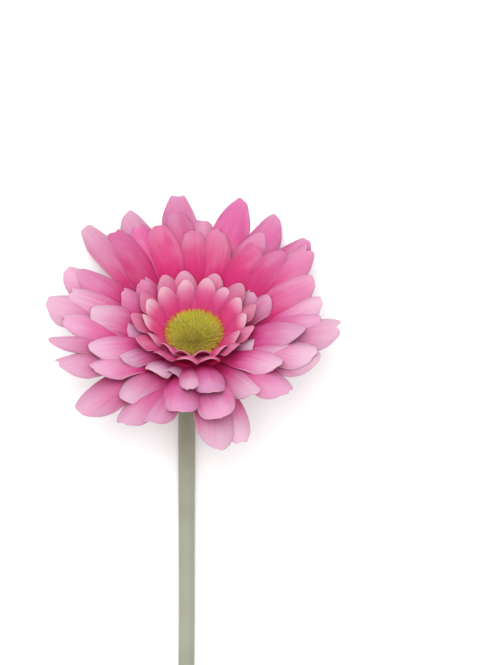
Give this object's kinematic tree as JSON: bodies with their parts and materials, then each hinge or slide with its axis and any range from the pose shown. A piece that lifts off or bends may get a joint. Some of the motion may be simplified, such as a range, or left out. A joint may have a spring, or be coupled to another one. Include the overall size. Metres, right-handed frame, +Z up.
{
  "type": "cut gerbera",
  "caption": "Cut gerbera flower lying on a table: a round head of layered pink petals around an inner cup and a brush-like disc, on a long bare stem.",
  "frame": {"origin": "on the table, under the middle of the flower's outline", "axes": "+Y along the stem from its cut end to the flower head, +Z up from the table"},
  "size_m": [0.1152, 0.479, 0.0631],
  "materials": {
    "ray_petals": "matte",
    "inner_petals": "matte",
    "disc": "matte",
    "calyx": "matte",
    "stem": "matte"
  },
  "bodies": {
    "root": {"ray_petals": "ray_petals", "inner_petals": "inner_petals", "disc": "disc", "calyx": "calyx", "stem": "stem"}
  },
  "joints": []
}
